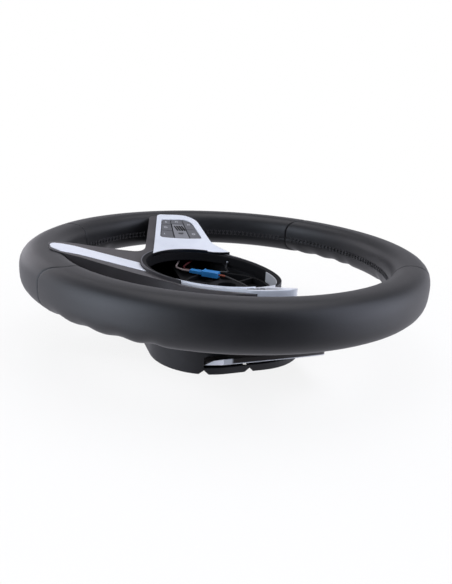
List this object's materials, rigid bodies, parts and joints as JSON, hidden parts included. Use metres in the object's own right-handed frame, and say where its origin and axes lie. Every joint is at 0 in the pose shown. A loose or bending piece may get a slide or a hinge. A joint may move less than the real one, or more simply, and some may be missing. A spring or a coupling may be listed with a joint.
{
  "type": "car steering wheel",
  "caption": "Leather-rimmed car steering wheel with three spokes, switch pads, shift paddles and an open hub well where the airbag would sit.",
  "frame": {"origin": "centre of the steering column bore at the rear face of the hub bush", "axes": "+Z along the column towards the driver, +Y to 12 o'clock, +X to 3 o'clock"},
  "size_m": [0.37, 0.37, 0.0953],
  "materials": {
    "leather": "satin grained",
    "casting": "die-cast matt",
    "steel": "plain",
    "frame_plastic": "fine grained",
    "silver_trim": "satin silver lacquer",
    "guide_plastic": "plain",
    "key_plastic": "satin",
    "mat_rubber": "plain",
    "board": "lacquered",
    "black_plastic": "fine grained",
    "paddle_plastic": "satin",
    "blue_plastic": "plain",
    "lead_white": "plain",
    "lead_red": "plain",
    "lead_orange": "plain",
    "plate": "bare"
  },
  "bodies": {
    "wheel": {"airbag_spring_left": "steel", "airbag_spring_right": "steel", "armature": "casting", "bare_plate": "plate", "bezel_left": "silver_trim", "bezel_right": "silver_trim", "button_guide_left": "guide_plastic", "button_guide_right": "guide_plastic", "connector_plug": "blue_plastic", "connector_socket": "blue_plastic", "cover_screws": "steel", "dome_mat_left": "mat_rubber", "dome_mat_right": "mat_rubber", "front_frame": "frame_plastic", "hub_bush": "steel", "lead_orange": "lead_orange", "lead_red": "lead_red", "lead_white": "lead_white", "lower_strip": "silver_trim", "paddle_bracket_left": "black_plastic", "paddle_bracket_right": "black_plastic", "paddle_pin_left": "steel", "paddle_pin_right": "steel", "rear_cover": "black_plastic", "rim_panel_bottom": "leather", "rim_panel_left": "leather", "rim_panel_right": "leather", "rim_panel_top": "leather", "switch_board_left": "board", "switch_board_right": "board", "switch_carrier_left": "black_plastic", "switch_carrier_right": "black_plastic"},
    "button_lower_inner_right": {"button_lower_inner_right": "key_plastic"},
    "button_lower_middle_right": {"button_lower_middle_right": "key_plastic"},
    "button_lower_outer_right": {"button_lower_outer_right": "key_plastic"},
    "button_centre_outer_right": {"button_centre_outer_right": "key_plastic"},
    "button_upper_inner_right": {"button_upper_inner_right": "key_plastic"},
    "button_upper_outer_right": {"button_upper_outer_right": "key_plastic"},
    "rocker_right": {"rocker_right": "key_plastic"},
    "paddle_right": {"paddle_right": "paddle_plastic"},
    "button_lower_inner_left": {"button_lower_inner_left": "key_plastic"},
    "button_lower_middle_left": {"button_lower_middle_left": "key_plastic"},
    "button_lower_outer_left": {"button_lower_outer_left": "key_plastic"},
    "button_centre_outer_left": {"button_centre_outer_left": "key_plastic"},
    "button_upper_inner_left": {"button_upper_inner_left": "key_plastic"},
    "button_upper_outer_left": {"button_upper_outer_left": "key_plastic"},
    "rocker_left": {"rocker_left": "key_plastic"},
    "paddle_left": {"paddle_left": "paddle_plastic"}
  },
  "joints": [
    {"name": "button_lower_inner_right_press", "type": "slide", "parent": "wheel", "child": "button_lower_inner_right", "axis": [0.2895, 0, -0.9572], "range_m": [0, 0.0008], "stiffness_N_per_m": 2500},
    {"name": "button_lower_middle_right_press", "type": "slide", "parent": "wheel", "child": "button_lower_middle_right", "axis": [0.2895, 0, -0.9572], "range_m": [0, 0.0008], "stiffness_N_per_m": 2500},
    {"name": "button_lower_outer_right_press", "type": "slide", "parent": "wheel", "child": "button_lower_outer_right", "axis": [0.2895, 0, -0.9572], "range_m": [0, 0.0008], "stiffness_N_per_m": 2500},
    {"name": "button_centre_outer_right_press", "type": "slide", "parent": "wheel", "child": "button_centre_outer_right", "axis": [0.2895, 0, -0.9572], "range_m": [0, 0.0008], "stiffness_N_per_m": 2500},
    {"name": "button_upper_inner_right_press", "type": "slide", "parent": "wheel", "child": "button_upper_inner_right", "axis": [0.2895, 0, -0.9572], "range_m": [0, 0.0008], "stiffness_N_per_m": 2500},
    {"name": "button_upper_outer_right_press", "type": "slide", "parent": "wheel", "child": "button_upper_outer_right", "axis": [0.2895, 0, -0.9572], "range_m": [0, 0.0008], "stiffness_N_per_m": 2500},
    {"name": "rocker_right_tilt", "type": "hinge", "parent": "wheel", "child": "rocker_right", "pos_m": [0.10917, -0.01937, 0.06191], "axis": [0, 1, 0], "range_deg": [-2.5, 2.5], "stiffness_Nm_per_rad": 0.44},
    {"name": "paddle_right_pull", "type": "hinge", "parent": "wheel", "child": "paddle_right", "pos_m": [0.068, -0.014, -0.0045], "axis": [0, -1, 0], "range_deg": [0, 5], "stiffness_Nm_per_rad": 3, "springref_deg": -2.86},
    {"name": "button_lower_inner_left_press", "type": "slide", "parent": "wheel", "child": "button_lower_inner_left", "axis": [-0.2895, 0, -0.9572], "range_m": [0, 0.0008], "stiffness_N_per_m": 2500},
    {"name": "button_lower_middle_left_press", "type": "slide", "parent": "wheel", "child": "button_lower_middle_left", "axis": [-0.2895, 0, -0.9572], "range_m": [0, 0.0008], "stiffness_N_per_m": 2500},
    {"name": "button_lower_outer_left_press", "type": "slide", "parent": "wheel", "child": "button_lower_outer_left", "axis": [-0.2895, 0, -0.9572], "range_m": [0, 0.0008], "stiffness_N_per_m": 2500},
    {"name": "button_centre_outer_left_press", "type": "slide", "parent": "wheel", "child": "button_centre_outer_left", "axis": [-0.2895, 0, -0.9572], "range_m": [0, 0.0008], "stiffness_N_per_m": 2500},
    {"name": "button_upper_inner_left_press", "type": "slide", "parent": "wheel", "child": "button_upper_inner_left", "axis": [-0.2895, 0, -0.9572], "range_m": [0, 0.0008], "stiffness_N_per_m": 2500},
    {"name": "button_upper_outer_left_press", "type": "slide", "parent": "wheel", "child": "button_upper_outer_left", "axis": [-0.2895, 0, -0.9572], "range_m": [0, 0.0008], "stiffness_N_per_m": 2500},
    {"name": "rocker_left_tilt", "type": "hinge", "parent": "wheel", "child": "rocker_left", "pos_m": [-0.10917, -0.01937, 0.06191], "axis": [0, 1, 0], "range_deg": [-2.5, 2.5], "stiffness_Nm_per_rad": 0.44},
    {"name": "paddle_left_pull", "type": "hinge", "parent": "wheel", "child": "paddle_left", "pos_m": [-0.068, -0.014, -0.0045], "axis": [0, 1, 0], "range_deg": [0, 5], "stiffness_Nm_per_rad": 3, "springref_deg": -2.86}
  ]
}
